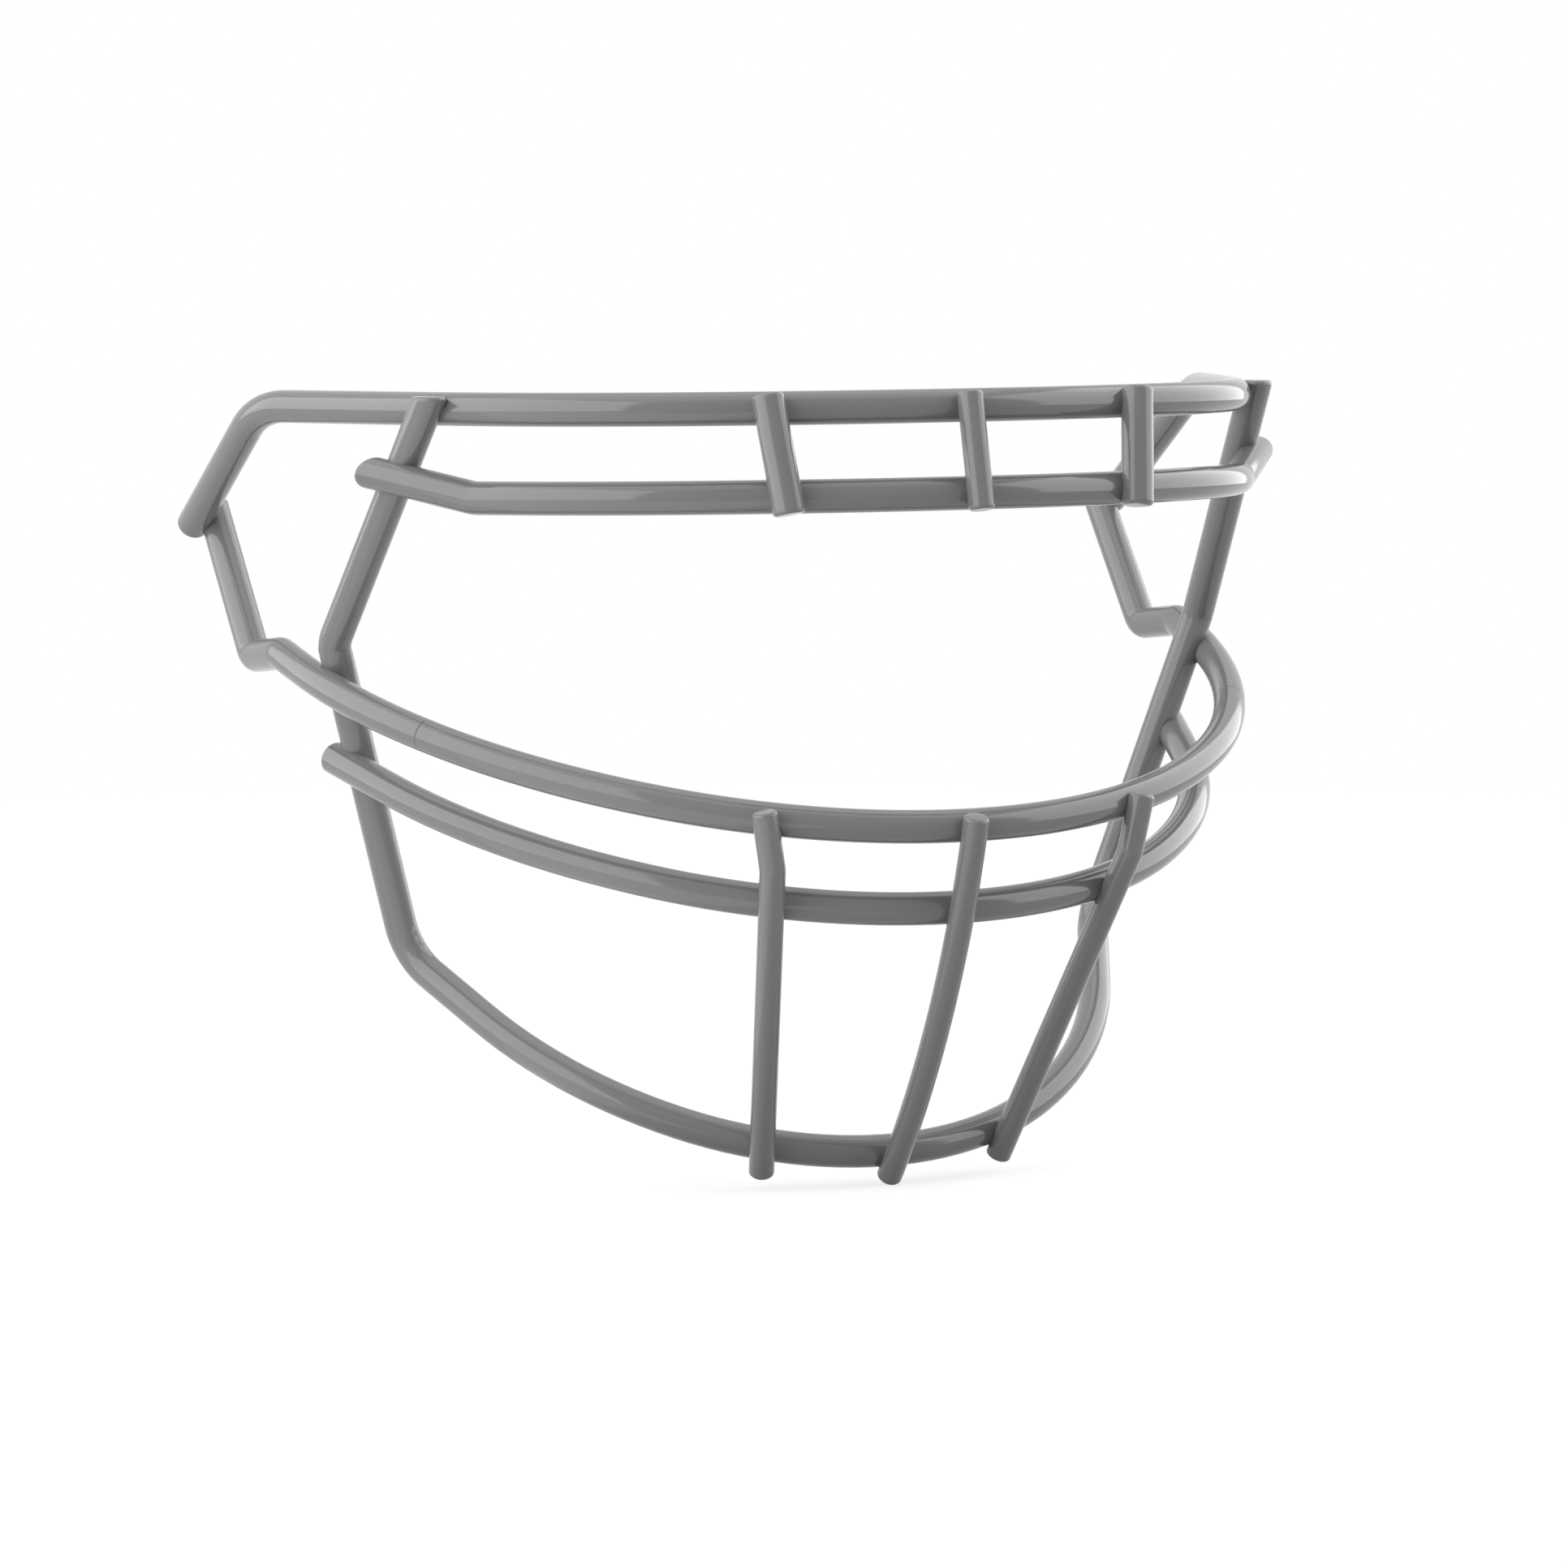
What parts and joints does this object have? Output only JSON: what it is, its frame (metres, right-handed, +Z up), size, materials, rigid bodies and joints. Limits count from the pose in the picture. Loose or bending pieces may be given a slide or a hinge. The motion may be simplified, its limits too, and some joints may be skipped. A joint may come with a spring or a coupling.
{
  "type": "football helmet facemask",
  "caption": "Welded wire face guard: brow bars, jaw bars and a chin hoop with side wires, uprights and thin verticals, in a grey coat.",
  "frame": {"origin": "centre of the guard's bounding box", "axes": "+X towards the wearer's left, -Y forwards out of the face, +Z up"},
  "size_m": [0.2338, 0.1652, 0.1702],
  "materials": {
    "coated_wire": "smooth semi-gloss bonded coat, neutral grey"
  },
  "bodies": {
    "root": {"brow_bar": "coated_wire", "upper_jaw_bar": "coated_wire", "lower_jaw_bar": "coated_wire", "chin_hoop": "coated_wire", "lower_brow_bar": "coated_wire", "side_wire_right": "coated_wire", "side_wire_left": "coated_wire", "upright_right": "coated_wire", "upright_left": "coated_wire", "upper_vertical_right": "coated_wire", "upper_vertical_left": "coated_wire", "lower_vertical_right": "coated_wire", "lower_vertical_left": "coated_wire", "upper_vertical_centre": "coated_wire", "lower_vertical_centre": "coated_wire"}
  },
  "joints": []
}
